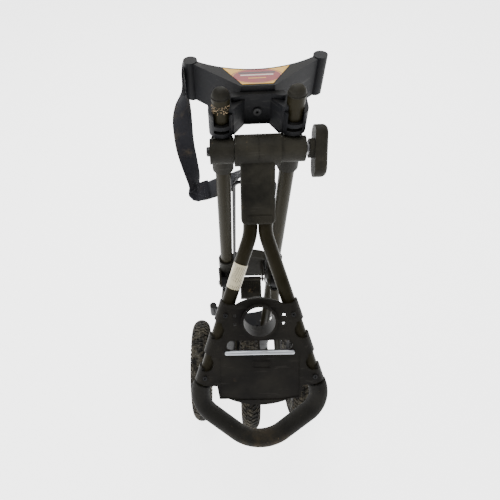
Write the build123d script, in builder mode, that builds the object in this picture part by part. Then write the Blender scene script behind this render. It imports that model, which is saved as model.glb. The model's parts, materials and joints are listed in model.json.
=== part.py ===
from build123d import *
from math import atan2, cos, radians, sin
import os

os.makedirs("parts", exist_ok=True)

# Folding three-wheel golf push cart, folded and standing on its wheels and its heel.
# X is across the cart, +Y is the side that carries the bag, -Y is the handle side, the floor is z = 0.
# All sizes are in millimetres.

# clearances
slip_gap = 0.05  # radial, between a shaft or tube and the bore that holds it
body_gap = 0.6  # between faces of parts that move past each other

# main frame
frame_tube_d = 28.6
frame_tube_wall = 1.6
frame_spacing = 116.7  # between the tubes' centre lines
frame_top = 1038.0
frame_foot = 26.0
cap_plug = 18.0

# upper bag bracket
bracket_top = frame_top + 2.0
wing_height = 66.0
wing_wall = 4.0
cradle_flat = 53.0  # width of the flat at the front of the cradle
cradle_front = 21.0  # from the tube plane to that flat
cradle_back = 68.0  # from the tube plane to the middle of the bag arc
tip_x = 108.0
tip_y = 100.0
tip_d = 24.0
socket_half = 21.0
socket_front = 10.0
socket_back = 22.0
socket_low = frame_top - 63.0
socket_high = frame_top - 24.0
panel_top = frame_top - 8.0
panel_low = frame_top - 78.5
panel_half = 20.5
cradle_bolt_height = frame_top - 38.0
sticker_thickness = 0.6
sticker_half_front = 24.0
sticker_half_back = 54.0
sticker_margin = 4.0

# handle hinge
hinge_forward = 22.0  # hinge axis in front of the tube plane
hinge_height = frame_top - 88.0
barrel_d = 52.0
barrel_half = 38.0
hinge_bolt_d = 8.0
sleeve_wall = 5.0
sleeve_low = hinge_height - 57.0
sleeve_high = hinge_height + 8.0
knuckle_d = 42.0
washer_thickness = 2.0
knob_length = 86.0
knob_width = 36.0
knob_thickness = 22.0
knob_offset = 5.0
knob_neck = 12.0  # from the washer to the knob's back face
knob_hub = 8.0

# handle
fold_angle = 41.0  # between the handle and the frame when folded
handle_tube_d = 25.4
stem_width = 2 * handle_tube_d + 7.2
stem_length = 124.0
stem_thickness = handle_tube_d + 5.6
handle_tube_wall = 1.5
tube_socket = 62.0
wishbone_start = 143.0
shoulder_x = 125.0
shoulder_q = 480.0
loop_vertex = 590.0
wishbone_radius = 80.0
shoulder_radius = 60.0
loop_radius = 70.0
grip_d = handle_tube_d + 10.6
grip_start = 437.0

# console
console_top = 257.0
console_side_top = 270.0
console_low = 434.0  # where the flanges end on the tubes
console_skirt = 464.0  # lower edge between the tubes
console_bulge = 478.0
console_wall = 3.3
console_tabs = ((270.0, 308.0), (336.0, 374.0), (402.0, 434.0))
ring_q = 302.0
ring_bore = 58.0
ring_wall = 4.5
ring_rise = 6.0
ring_depth = 40.0
slot_q = 351.0
slot_width = 122.0
slot_height = 20.0

# leg bracket and legs
leg_bracket_low = 490.0
leg_bracket_high = leg_bracket_low + 107.0
arch_top = leg_bracket_high + 15.0
pivot_height = leg_bracket_low + 55.0
pivot_forward = 37.0
pivot_tilt = 10.0
leg_tube_d = 22.0
leg_tube_wall = 1.5
leg_pin_d = 8.0
leg_knuckle_d = 28.0
leg_knuckle_half = 11.0
lug_thickness = 6.0
paddle_forward = 34.0
paddle_height = leg_bracket_low + 62.0
paddle_half = 25.5
ear_thickness = 3.0
leg_foot_x = frame_spacing / 2 + 38.65
rod_d = 7.0
rod_half = 39.0
rod_top = hinge_height - 90.0
rod_forward = 5.0
rod_radius = 12.0

# wheels
wheel_d = 310.0
tyre_width = 54.0
bead_d = 206.0
rim_width = 34.0
hub_d = 46.0
axle_d = 12.0
bearing_d = 28.0
bearing_width = 8.0
front_wheel_y = -155.0  # from the tube plane
rear_wheel_y = -127.0
rear_wheel_x = leg_foot_x + 50.0
front_hub_half = frame_spacing / 2 - 26.35
rear_hub_half = 22.0

# lower bracket, base and fork
lower_top = 153.0
lower_wing_height = 60.0
lower_tip_x = 113.0
lower_tip_d = 24.0
lower_socket_inner = frame_spacing / 2 - 17.95
lower_socket_low = 84.0
base_low = 12.0
base_thickness = 6.0
base_reach = 104.0
foot_d = 26.0
fork_thickness = 6.0
fork_bolt_d = 6.0
fork_eye_d = 34.0

# strap
strap_width = 38.0
strap_thickness = 2.6
pad_width = 42.0
pad_thickness = 10.0

# derived places
frame_r = frame_tube_d / 2
tube_x = frame_spacing / 2
wheel_r = wheel_d / 2
fold = radians(fold_angle)
loop_slope = atan2(loop_vertex - shoulder_q, shoulder_x)
loop_low = loop_vertex - loop_radius * (1 / cos(loop_slope) - 1)
handle_reach = hinge_forward + loop_low * sin(fold) + grip_d / 2
bag_reach = tip_y + tip_d / 2
frame_y = (handle_reach - bag_reach) / 2  # the tube plane, so that the origin is in the middle of the base
hinge_y = frame_y - hinge_forward
pivot_y = frame_y - pivot_forward
handle_tube_x = handle_tube_d / 2 + 0.5
arm_slope = (shoulder_x - handle_tube_x) / (shoulder_q - wishbone_start)
plate_n = handle_tube_d / 2 + 0.3  # underside of the console plate above the handle's mid plane
plate_top = plate_n + console_wall
wheel_z = wheel_r
sleeve_r = frame_r + sleeve_wall
sleeve_face = tube_x + sleeve_r + 1.5
knob_start = sleeve_face + washer_thickness + knob_neck

# handle plane: x across, y back up towards the hinge, z out of the handle's face
handle_plane = Plane(
    origin=(0, hinge_y, hinge_height), x_dir=(1, 0, 0), z_dir=(0, -cos(fold), sin(fold))
)


def arm_x(q):
    """Half the distance between the handle tubes at q along the handle."""
    return handle_tube_x + (q - wishbone_start) * arm_slope


def arm_plane(side, q):
    """Plane across one handle tube: x out of the handle's face, z away from the hinge."""
    here = handle_plane.from_local_coords(Vector(side * arm_x(q), -q, 0))
    ahead = handle_plane.from_local_coords(Vector(side * arm_x(q + 100), -q - 100, 0))
    return Plane(origin=here, x_dir=handle_plane.z_dir, z_dir=ahead - here)


def hand_in(part, name):
    part.label = name
    export_step(part, f"parts/{name}.step")


def x_plane(x, y, z):
    """Plane across the X axis, with its x along +Y and its y along +Z."""
    return Plane(origin=(x, y, z), x_dir=(0, 1, 0), z_dir=(1, 0, 0))


# ---- frame tubes and caps ----
bolt_heights = (lower_socket_low + 16.0, lower_top - 16.0)
for side, name in ((-1, "left"), (1, "right")):
    with BuildPart() as frame_tube:
        with BuildSketch(Plane.XY.offset(frame_foot)):
            with Locations((side * tube_x, frame_y)):
                Circle(frame_r)
                Circle(frame_r - frame_tube_wall, mode=Mode.SUBTRACT)
        extrude(amount=frame_top - frame_foot)
        for height in bolt_heights:
            with BuildSketch(x_plane(side * (tube_x - frame_tube_d), frame_y, height)):
                Circle(fork_bolt_d / 2 + slip_gap)
            extrude(amount=side * 2 * frame_tube_d, mode=Mode.SUBTRACT)
    hand_in(frame_tube.part, f"frame_tube_{name}")

    with BuildPart() as tube_cap:
        with Locations((side * tube_x, frame_y, frame_top)):
            Sphere(frame_r, arc_size1=0, align=(Align.CENTER, Align.CENTER, Align.MIN))
            Cylinder(
                frame_r - frame_tube_wall - slip_gap,
                cap_plug,
                align=(Align.CENTER, Align.CENTER, Align.MAX),
            )
    hand_in(tube_cap.part, f"tube_cap_{name}")


# ---- bag brackets ----
def winged_cradle(top, height, wing_x, wing_d):
    """Hollow moulded cradle: a flat front, two wings with round tips and a concave bag side."""
    half_web = wing_d / 4
    with BuildPart() as cradle:
        with BuildSketch(Plane.XY.offset(top)) as outline:
            with BuildLine():
                front_y = frame_y + cradle_front
                front = Line((cradle_flat / 2, front_y), (-cradle_flat / 2, front_y))
                left = Line(front @ 1, (-wing_x, frame_y + tip_y - half_web))
                left_end = Line(left @ 1, (-wing_x, frame_y + tip_y + half_web))
                arc = ThreePointArc(
                    left_end @ 1, (0, frame_y + cradle_back), (wing_x, frame_y + tip_y + half_web)
                )
                right_end = Line(arc @ 1, (wing_x, frame_y + tip_y - half_web))
                Line(right_end @ 1, front @ 0)
            make_face()
        extrude(amount=-height)
        with BuildSketch(Plane.XY.offset(top - wing_wall)):
            add(outline.sketch.faces()[0].moved(Location((0, 0, -top))))
            offset(amount=-wing_wall, mode=Mode.REPLACE)
        extrude(amount=-height, mode=Mode.SUBTRACT)
        with BuildSketch(Plane.XY.offset(top + 1.0)):
            with Locations((-wing_x, frame_y + tip_y), (wing_x, frame_y + tip_y)):
                Circle(wing_d / 2)
        extrude(amount=-height - 1.0)
    return cradle.part


with BuildPart() as upper_bracket:
    add(winged_cradle(bracket_top, wing_height, tip_x, tip_d))
    # socket blocks and the panel between them
    with BuildSketch(Plane.XY.offset(socket_low)):
        with Locations((-tube_x, frame_y), (tube_x, frame_y)):
            Circle(socket_half)
            Rectangle(2 * socket_half, socket_back, align=(Align.CENTER, Align.MIN))
    extrude(amount=socket_high - socket_low)
    with BuildSketch(Plane.XY.offset(panel_low)):
        with BuildLine():
            Polyline(
                (-tube_x + socket_half, frame_y + socket_back),
                (-tube_x + socket_half - 5, frame_y + socket_back),
                (-tube_x + socket_half - 5, frame_y + 8),
                (-tube_x + socket_half, frame_y + 8),
                (-panel_half, frame_y + 14),
                (panel_half, frame_y + 14),
                (tube_x - socket_half, frame_y + 8),
                (tube_x - socket_half + 5, frame_y + 8),
                (tube_x - socket_half + 5, frame_y + socket_back),
                close=True,
            )
        make_face()
    extrude(amount=panel_top - panel_low)
    # chamfered cheeks from the panel to the sockets
    for side in (-1, 1):
        with BuildSketch(Plane.XY.offset(socket_low)):
            with BuildLine():
                Polyline(
                    (side * panel_half, frame_y + socket_back),
                    (side * panel_half, frame_y + 14),
                    (side * (tube_x - socket_half + 1), frame_y - socket_front),
                    (side * tube_x, frame_y - socket_front),
                    (side * tube_x, frame_y + socket_back),
                    close=True,
                )
            make_face()
        extrude(amount=panel_top - 8 - socket_low)
    # trapezoid opening under the panel
    with BuildSketch(Plane.XZ.offset(-frame_y - socket_back - 1)):
        with BuildLine():
            Polyline(
                (-tube_x + socket_half - 1, panel_low - 1),
                (-panel_half, panel_low + 15),
                (panel_half, panel_low + 15),
                (tube_x - socket_half + 1, panel_low - 1),
                close=True,
            )
        make_face()
    extrude(amount=cradle_back, mode=Mode.SUBTRACT)
    # tube bores, and the open fronts of the two sockets
    with BuildSketch(Plane.XY.offset(panel_low - 1)):
        with Locations((-tube_x, frame_y), (tube_x, frame_y)):
            Circle(frame_r + slip_gap)
    extrude(amount=bracket_top - panel_low - 10, mode=Mode.SUBTRACT)
    for low, high in ((socket_low + 8, socket_low + 14), (socket_low + 21, bracket_top)):
        with BuildSketch(Plane.XY.offset(low)):
            with Locations((-tube_x, frame_y - socket_half), (tube_x, frame_y - socket_half)):
                Rectangle(2 * frame_r - 4, 2 * socket_half - 6)
        extrude(amount=high - low, mode=Mode.SUBTRACT)
    # the bolt that holds the cradle to the panel
    with BuildSketch(Plane.XZ.offset(-frame_y - cradle_front - wing_wall - 1)):
        with Locations((0, cradle_bolt_height)):
            Circle(3 + slip_gap)
    extrude(amount=cradle_front, mode=Mode.SUBTRACT)
hand_in(upper_bracket.part, "upper_bracket")

with BuildPart() as bracket_screw:
    with BuildSketch(Plane.XZ.offset(-frame_y - cradle_front - wing_wall)):
        with Locations((0, cradle_bolt_height)):
            Circle(3)
    extrude(amount=cradle_front + wing_wall - 14)
    with BuildSketch(Plane.XZ.offset(-frame_y - 14)):
        with Locations((0, cradle_bolt_height)):
            Circle(6.5)
            RegularPolygon(2.6, 6, mode=Mode.SUBTRACT)
    extrude(amount=4)
hand_in(bracket_screw.part, "bracket_screw")

with BuildPart() as bracket_label:
    back = frame_y + cradle_back - sticker_margin
    with BuildSketch(Plane.XY.offset(bracket_top)):
        with BuildLine():
            sticker_arc = ThreePointArc(
                (-sticker_half_back, back + 9), (0, back), (sticker_half_back, back + 9)
            )
            Polyline(
                sticker_arc @ 1,
                (sticker_half_front, frame_y + cradle_front + sticker_margin),
                (-sticker_half_front, frame_y + cradle_front + sticker_margin),
                sticker_arc @ 0,
            )
        make_face()
    extrude(amount=sticker_thickness)
hand_in(bracket_label.part, "bracket_label")

with BuildPart() as lower_bracket:
    add(winged_cradle(lower_top, lower_wing_height, lower_tip_x, lower_tip_d))
    # sockets around the frame tubes, tied to the cradle's front by a rib each
    with BuildSketch(Plane.XY.offset(lower_socket_low)):
        with Locations((-tube_x, frame_y), (tube_x, frame_y)):
            Circle(socket_half)
            Rectangle(2 * socket_half, socket_back + 14, align=(Align.CENTER, Align.MIN))
    extrude(amount=lower_top - lower_socket_low)
    with BuildSketch(Plane.XY.offset(lower_socket_low)):
        with Locations((0, frame_y + cradle_front)):
            Rectangle(2 * tube_x, 12, align=(Align.CENTER, Align.MIN))
    extrude(amount=lower_top - lower_socket_low)
    # flat seats for the fork arms
    with BuildSketch(Plane.XY.offset(lower_socket_low - 1)):
        with Locations((0, frame_y + cradle_front)):
            Rectangle(2 * lower_socket_inner, 4 * socket_half, align=(Align.CENTER, Align.MAX))
    extrude(amount=lower_top - lower_socket_low + 2, mode=Mode.SUBTRACT)
    with BuildSketch(Plane.XY.offset(lower_socket_low - 1)):
        with Locations((-tube_x, frame_y), (tube_x, frame_y)):
            Circle(frame_r + slip_gap)
    extrude(amount=lower_top - lower_socket_low + 2, mode=Mode.SUBTRACT)
    for height in bolt_heights:
        with BuildSketch(x_plane(-2 * tube_x, frame_y, height)):
            Circle(fork_bolt_d / 2 + slip_gap)
        extrude(amount=4 * tube_x, mode=Mode.SUBTRACT)
hand_in(lower_bracket.part, "lower_bracket")

# ---- base shelf and its feet ----
with BuildPart() as base_shelf:
    with BuildSketch(Plane.XY.offset(base_low)):
        with Locations((0, frame_y - socket_half)):
            Rectangle(2 * (tube_x + socket_half), base_reach + socket_half, align=(Align.CENTER, Align.MIN))
    extrude(amount=base_thickness)
    with BuildSketch(Plane.XY.offset(base_low + base_thickness)):
        with Locations((0, frame_y + base_reach)):
            Rectangle(2 * tube_x, 6, align=(Align.CENTER, Align.MAX))
    extrude(amount=14)
    with BuildSketch(Plane.XY.offset(base_low + base_thickness)):
        with Locations((-tube_x, frame_y), (tube_x, frame_y)):
            Circle(socket_half - 1)
    extrude(amount=lower_socket_low - base_low - base_thickness - 4)
    with BuildSketch(Plane.XY.offset(frame_foot)):
        with Locations((-tube_x, frame_y), (tube_x, frame_y)):
            Circle(frame_r + slip_gap)
    extrude(amount=lower_socket_low, mode=Mode.SUBTRACT)
    # ribs from the sockets back to the lip
    for side in (-1, 1):
        with BuildSketch(x_plane(side * tube_x, frame_y, base_low + base_thickness)):
            with BuildLine():
                Polyline((socket_half - 3, 0), (base_reach - 6, 0), (socket_half - 3, 44), close=True)
            make_face()
        extrude(amount=2.5, both=True)
hand_in(base_shelf.part, "base_shelf")

with BuildPart() as base_feet:
    with BuildSketch(Plane.XY):
        with Locations((0, frame_y + base_reach / 2 - 6)):
            with GridLocations(2 * tube_x, base_reach - foot_d, 2, 2):
                Circle(foot_d / 2)
    extrude(amount=base_low)
    chamfer(base_feet.edges().group_by(Axis.Z)[0], length=1.5)
hand_in(base_feet.part, "base_feet")

# ---- front fork ----
for side, name in ((-1, "left"), (1, "right")):
    with BuildPart() as fork_arm:
        with BuildSketch(x_plane(side * (lower_socket_inner - slip_gap), frame_y, 0)):
            with Locations((0, bolt_heights[0]), (0, bolt_heights[1]), (front_wheel_y, wheel_z)):
                Circle(fork_eye_d / 2)
            make_hull()
            with Locations((0, bolt_heights[0]), (0, bolt_heights[1])):
                Circle(fork_bolt_d / 2 + slip_gap, mode=Mode.SUBTRACT)
            with Locations((front_wheel_y, wheel_z)):
                Circle(axle_d / 2 + slip_gap, mode=Mode.SUBTRACT)
            with Locations((front_wheel_y * 0.42, wheel_z - 13)):
                SlotOverall(60, 14, mode=Mode.SUBTRACT)
        extrude(amount=-side * fork_thickness)
    hand_in(fork_arm.part, f"fork_arm_{name}")

with BuildPart() as fork_bolts:
    for side in (-1, 1):
        for height in bolt_heights:
            shank = tube_x + socket_half - lower_socket_inner + fork_thickness
            start = side * (lower_socket_inner - fork_thickness)
            with BuildSketch(x_plane(start, frame_y, height)):
                Circle(fork_bolt_d / 2)
            extrude(amount=side * shank)
            with BuildSketch(x_plane(side * (tube_x + socket_half), frame_y, height)):
                Circle(fork_bolt_d)
            extrude(amount=side * 4)
hand_in(fork_bolts.part, "fork_bolts")

with BuildPart() as front_axle:
    with BuildSketch(x_plane(0, frame_y + front_wheel_y, wheel_z)):
        Circle(axle_d / 2)
    extrude(amount=lower_socket_inner + 12, both=True)
hand_in(front_axle.part, "front_axle")

with BuildPart() as axle_nuts:
    for side in (-1, 1):
        with BuildSketch(x_plane(side * lower_socket_inner, frame_y + front_wheel_y, wheel_z)):
            RegularPolygon(10.5, 6)
            Circle(axle_d / 2 + slip_gap, mode=Mode.SUBTRACT)
        extrude(amount=side * 8)
hand_in(axle_nuts.part, "axle_nuts")

# ---- handle hinge ----
for side, name in ((-1, "left"), (1, "right")):
    with BuildPart() as clamp_sleeve:
        with BuildSketch(Plane.XY.offset(sleeve_low)):
            with Locations((side * tube_x, frame_y)):
                Circle(sleeve_r)
        extrude(amount=sleeve_high - sleeve_low)
        with BuildSketch(x_plane(side * (barrel_half + body_gap), hinge_y, hinge_height)):
            Circle(knuckle_d / 2)
        extrude(amount=side * (sleeve_face - barrel_half - body_gap))
        with BuildSketch(x_plane(0, hinge_y, hinge_height)):
            Circle(hinge_bolt_d / 2 + slip_gap)
        extrude(amount=side * 2 * tube_x, mode=Mode.SUBTRACT)
        with BuildSketch(Plane.XY.offset(sleeve_low - knuckle_d)):
            with Locations((side * tube_x, frame_y)):
                Circle(frame_r + slip_gap)
        extrude(amount=3 * knuckle_d + sleeve_high - sleeve_low, mode=Mode.SUBTRACT)
    hand_in(clamp_sleeve.part, f"clamp_sleeve_{name}")

with BuildPart() as hinge_bolt:
    with BuildSketch(x_plane(-sleeve_face, hinge_y, hinge_height)):
        Circle(hinge_bolt_d / 2)
    extrude(amount=sleeve_face + knob_start + knob_thickness - 3)
    with BuildSketch(x_plane(-sleeve_face, hinge_y, hinge_height)):
        Circle(hinge_bolt_d)
    extrude(amount=-6)
    fillet(hinge_bolt.faces().sort_by(Axis.X)[0].edges(), radius=2.5)
hand_in(hinge_bolt.part, "hinge_bolt")

with BuildPart() as hinge_washer:
    with BuildSketch(x_plane(sleeve_face, hinge_y, hinge_height)):
        Circle(11)
        Circle(hinge_bolt_d / 2 + slip_gap, mode=Mode.SUBTRACT)
    extrude(amount=washer_thickness)
hand_in(hinge_washer.part, "hinge_washer")

knob_plane = Plane(
    origin=(knob_start, hinge_y, hinge_height), x_dir=(0, -sin(fold), -cos(fold)), z_dir=(1, 0, 0)
)
with BuildPart() as clamp_knob:
    with BuildSketch(knob_plane):
        with Locations((knob_offset, 0)):
            SlotOverall(knob_length, knob_width)
    extrude(amount=knob_thickness)
    fillet(clamp_knob.faces().sort_by(Axis.X)[-1].edges(), radius=9)
    with BuildSketch(knob_plane):
        Circle(knob_width / 2 - 2)
    extrude(amount=-knob_hub)
    with BuildSketch(knob_plane.offset(-knob_hub)):
        Circle(9)
    extrude(amount=knob_hub + knob_thickness - 6, mode=Mode.SUBTRACT)
    with BuildSketch(knob_plane):
        Circle(hinge_bolt_d / 2 + 1)
    extrude(amount=knob_thickness, mode=Mode.SUBTRACT)
hand_in(clamp_knob.part, "clamp_knob")

with BuildPart() as knob_insert:
    with BuildSketch(knob_plane.offset(-knob_hub)):
        Circle(9 - slip_gap)
        Circle(hinge_bolt_d / 2 + slip_gap, mode=Mode.SUBTRACT)
    extrude(amount=knob_hub + knob_thickness - 6)
    with BuildSketch(knob_plane.offset(-knob_hub)):
        RegularPolygon(11, 6)
        Circle(hinge_bolt_d / 2 + slip_gap, mode=Mode.SUBTRACT)
    extrude(amount=-3)
hand_in(knob_insert.part, "knob_insert")

with BuildPart() as handle_stem:
    with BuildSketch(x_plane(0, hinge_y, hinge_height)):
        Circle(barrel_d / 2)
    extrude(amount=barrel_half, both=True)
    with BuildSketch(handle_plane.offset(-stem_thickness / 2)):
        Rectangle(stem_width, stem_length, align=(Align.CENTER, Align.MAX))
        fillet(vertices().group_by(Axis.Y)[0], radius=8)
    extrude(amount=stem_thickness)
    fillet(handle_stem.edges().filter_by(Axis((0, 0, 0), handle_plane.y_dir)), radius=4)
    with BuildSketch(x_plane(0, hinge_y, hinge_height)):
        Circle(hinge_bolt_d / 2 + slip_gap)
    extrude(amount=barrel_half + 1, both=True, mode=Mode.SUBTRACT)
    for side in (-1, 1):
        socket_end = handle_plane.from_local_coords(Vector(side * handle_tube_x, -tube_socket, 0))
        with BuildSketch(Plane(origin=socket_end, x_dir=(1, 0, 0), z_dir=-handle_plane.y_dir)):
            Circle(handle_tube_d / 2 + slip_gap)
        extrude(amount=stem_length, mode=Mode.SUBTRACT)
hand_in(handle_stem.part, "handle_stem")

with BuildPart() as stem_band:
    with BuildSketch(handle_plane.offset(stem_thickness / 2)):
        with Locations((2, -stem_length + 9)):
            RectangleRounded(42, 12, 1.5)
    extrude(amount=2)
hand_in(stem_band.part, "stem_band")

with BuildPart() as handle_tube:
    with BuildLine(handle_plane) as tube_line:
        FilletPolyline(
            (-handle_tube_x, -tube_socket),
            (-handle_tube_x, -wishbone_start),
            (-shoulder_x, -shoulder_q),
            (0, -loop_vertex),
            (shoulder_x, -shoulder_q),
            (handle_tube_x, -wishbone_start),
            (handle_tube_x, -tube_socket),
            radius=[wishbone_radius, shoulder_radius, loop_radius, shoulder_radius, wishbone_radius],
        )
    with BuildSketch(Plane(origin=tube_line.line @ 0, z_dir=tube_line.line % 0)):
        Circle(handle_tube_d / 2)
        Circle(handle_tube_d / 2 - handle_tube_wall, mode=Mode.SUBTRACT)
    sweep()
hand_in(handle_tube.part, "handle_tube")

with BuildPart() as handle_grip:
    with BuildLine(handle_plane) as grip_line:
        FilletPolyline(
            (-arm_x(grip_start), -grip_start),
            (-shoulder_x, -shoulder_q),
            (0, -loop_vertex),
            (shoulder_x, -shoulder_q),
            (arm_x(grip_start), -grip_start),
            radius=[shoulder_radius, loop_radius, shoulder_radius],
        )
    with BuildSketch(Plane(origin=grip_line.line @ 0, z_dir=grip_line.line % 0)):
        Circle(grip_d / 2)
        Circle(handle_tube_d / 2 + slip_gap, mode=Mode.SUBTRACT)
    sweep()
hand_in(handle_grip.part, "handle_grip")

# ---- console ----
def tube_wrap(side, start, end, low_n):
    """Half shell over the face and the outside of one handle tube, from start to end along the handle."""
    inward = Align.MAX if side < 0 else Align.MIN
    with BuildPart() as wrap:
        with BuildSketch(arm_plane(side, start)):
            Circle(plate_top)
            Circle(plate_n, mode=Mode.SUBTRACT)
            with Locations((low_n, 0)):
                Rectangle(4 * plate_n, 4 * plate_n, align=(Align.MAX, Align.CENTER), mode=Mode.SUBTRACT)
            with Locations((plate_n, side * 1.0)):
                Rectangle(4 * plate_n, 4 * plate_n, align=(Align.MAX, inward), mode=Mode.SUBTRACT)
        extrude(amount=end - start)
    return wrap.part


with BuildPart() as console:
    with BuildSketch(handle_plane.offset(plate_n)):
        with BuildLine():
            hump = ThreePointArc((44, -console_side_top), (0, -console_top), (-44, -console_side_top))
            left_top = Line(hump @ 1, (-arm_x(console_side_top), -console_side_top))
            left_edge = Line(left_top @ 1, (-arm_x(console_low), -console_low))
            left_step = Line(left_edge @ 1, (-arm_x(console_low) + grip_d - 8, -console_low - 2))
            left_skirt = Line(left_step @ 1, (-arm_x(console_low) + grip_d - 4, -console_skirt))
            left_low = Line(left_skirt @ 1, (-60, -console_skirt))
            bulge = ThreePointArc(left_low @ 1, (0, -console_bulge), (60, -console_skirt))
            right_low = Line(bulge @ 1, (arm_x(console_low) - grip_d + 4, -console_skirt))
            right_skirt = Line(right_low @ 1, (arm_x(console_low) - grip_d + 8, -console_low - 2))
            right_step = Line(right_skirt @ 1, (arm_x(console_low), -console_low))
            right_edge = Line(right_step @ 1, (arm_x(console_side_top), -console_side_top))
            Line(right_edge @ 1, hump @ 0)
        make_face()
    extrude(amount=console_wall)
    # tabs over the tubes, with scallops that leave the tubes bare between them
    for side in (-1, 1):
        for start, end in console_tabs:
            add(tube_wrap(side, start, end, -handle_tube_d / 4))
        for (_, above), (below, _) in zip(console_tabs, console_tabs[1:]):
            middle_q = (above + below) / 2
            with BuildSketch(handle_plane.offset(plate_n - 1)):
                with Locations((side * (arm_x(middle_q) + 9), -middle_q)):
                    Circle((below - above) / 2 + 3)
            extrude(amount=console_wall + 2, mode=Mode.SUBTRACT)
    # raised rim and deep wall of the drink ring
    with BuildSketch(handle_plane.offset(plate_n - ring_depth + console_wall)):
        with Locations((0, -ring_q)):
            Circle(ring_bore / 2 + ring_wall)
    extrude(amount=ring_depth + ring_rise)
    with BuildSketch(handle_plane.offset(plate_n - ring_depth)):
        with Locations((0, -ring_q)):
            Circle(ring_bore / 2)
    extrude(amount=2 * ring_depth, mode=Mode.SUBTRACT)
    # card slot, finger holes and the sunk lower panel
    with BuildSketch(handle_plane.offset(plate_n - 1)):
        with Locations((0, -slot_q)):
            SlotOverall(slot_width, slot_height)
        with Locations((-45, -ring_q - 6), (-45, -ring_q + 11), (45, -ring_q - 6), (45, -ring_q + 11)):
            Rectangle(5.5, 5.5)
    extrude(amount=console_wall + 2, mode=Mode.SUBTRACT)
    with BuildSketch(handle_plane.offset(plate_top - 1.2)):
        with BuildLine():
            Polyline(
                (-arm_x(375) + 15, -375),
                (-arm_x(console_low) + 34, -console_skirt + 3),
                (-40, -console_skirt - 3),
                (40, -console_skirt - 3),
                (arm_x(console_low) - 34, -console_skirt + 3),
                (arm_x(375) - 15, -375),
                close=True,
            )
        make_face()
    extrude(amount=4, mode=Mode.SUBTRACT)
    with BuildSketch(handle_plane.offset(plate_top - 1.2)):
        with Locations((4, -392)):
            RectangleRounded(34, 15, 2)
            RectangleRounded(31, 12, 1.5, mode=Mode.SUBTRACT)
    extrude(amount=0.8)
hand_in(console.part, "console")

with BuildPart() as card_clip:
    with BuildSketch(handle_plane.offset(plate_top)):
        with Locations((0, -slot_q - slot_height / 2 - 4)):
            SlotOverall(slot_width + 8, 7)
    extrude(amount=5)
    fillet(card_clip.faces().sort_by(Axis((0, 0, 0), handle_plane.z_dir))[-1].edges(), radius=2)
hand_in(card_clip.part, "card_clip")

with BuildPart() as console_screws:
    for side in (-1, 1):
        for q in (290.0, 418.0):
            with BuildSketch(handle_plane.offset(plate_top)):
                with Locations((side * arm_x(q), -q)):
                    Circle(4.2)
                    RegularPolygon(1.8, 6, mode=Mode.SUBTRACT)
            extrude(amount=2.6)
hand_in(console_screws.part, "console_screws")

with BuildPart() as tube_label:
    with BuildSketch(arm_plane(-1, 196)):
        Circle(handle_tube_d / 2 + 0.35)
        Circle(handle_tube_d / 2 + 0.01, mode=Mode.SUBTRACT)
        with Locations((-handle_tube_d / 4, 0)):
            Rectangle(handle_tube_d, 2 * handle_tube_d, align=(Align.MAX, Align.CENTER), mode=Mode.SUBTRACT)
    extrude(amount=48)
hand_in(tube_label.part, "tube_label")


# ---- leg bracket ----
def pivot_plane(side):
    """Plane across a leg's hinge axis: x forward, z outward along the tilted axis."""
    tilt = radians(pivot_tilt)
    return Plane(
        origin=(side * tube_x, pivot_y, pivot_height),
        x_dir=(0, -1, 0),
        z_dir=(side * cos(tilt), 0, -sin(tilt)),
    )


release_y = frame_y - paddle_forward
release_z = paddle_height
with BuildPart() as leg_bracket:
    for side in (-1, 1):
        with BuildSketch(Plane.XY.offset(leg_bracket_low)):
            with Locations((side * tube_x, frame_y)):
                Circle(sleeve_r)
        extrude(amount=leg_bracket_high - leg_bracket_low)
        for start in (-leg_knuckle_half - body_gap - lug_thickness, leg_knuckle_half + body_gap):
            with BuildSketch(pivot_plane(side).offset(start)):
                Circle(leg_knuckle_d / 2 - 2)
                with Locations((-pivot_forward + 8, 0)):
                    Rectangle(2, leg_knuckle_d + 18)
                make_hull()
            extrude(amount=lug_thickness)
    # arched bridge: a rim 22 deep over a thinner web
    with BuildSketch(Plane.XZ.offset(-frame_y + 8)):
        with BuildLine():
            spring = leg_bracket_high - 22
            crown = ThreePointArc((-tube_x, spring), (0, arch_top), (tube_x, spring))
            inner = ThreePointArc((tube_x, spring - 8), (0, arch_top - 7), (-tube_x, spring - 8))
            Line(crown @ 1, inner @ 0)
            Line(inner @ 1, crown @ 0)
        make_face()
    extrude(amount=-22)
    with BuildSketch(Plane.XZ.offset(-frame_y - 8)):
        with BuildLine():
            web_top = ThreePointArc((-tube_x, spring - 3), (0, arch_top - 3), (tube_x, spring - 3))
            Polyline(web_top @ 1, (tube_x, leg_bracket_low + 8), (-tube_x, leg_bracket_low + 8), web_top @ 0)
        make_face()
    extrude(amount=-5)
    # ears for the release paddle's pin
    ear_gap = paddle_half + 2.5
    for x in (-ear_gap - ear_thickness, ear_gap):
        with BuildSketch(x_plane(x, release_y, release_z)):
            Circle(7)
            with Locations((paddle_forward + 11, 0)):
                Rectangle(2, 40)
            make_hull()
        extrude(amount=ear_thickness)
    # bores
    with BuildSketch(Plane.XY.offset(leg_bracket_low - 20)):
        with Locations((-tube_x, frame_y), (tube_x, frame_y)):
            Circle(frame_r + slip_gap)
    extrude(amount=200, mode=Mode.SUBTRACT)
    with BuildSketch(Plane.XY.offset(leg_bracket_high - 46)):
        with Locations((-rod_half, frame_y - rod_forward), (rod_half, frame_y - rod_forward)):
            Circle(rod_d / 2 + slip_gap)
    extrude(amount=60, mode=Mode.SUBTRACT)
    for side in (-1, 1):
        with BuildSketch(pivot_plane(side)):
            Circle(leg_pin_d / 2 + slip_gap)
        extrude(amount=26, both=True, mode=Mode.SUBTRACT)
    with BuildSketch(x_plane(0, release_y, release_z)):
        Circle(3 + slip_gap)
    extrude(amount=40, both=True, mode=Mode.SUBTRACT)
hand_in(leg_bracket.part, "leg_bracket")

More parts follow.
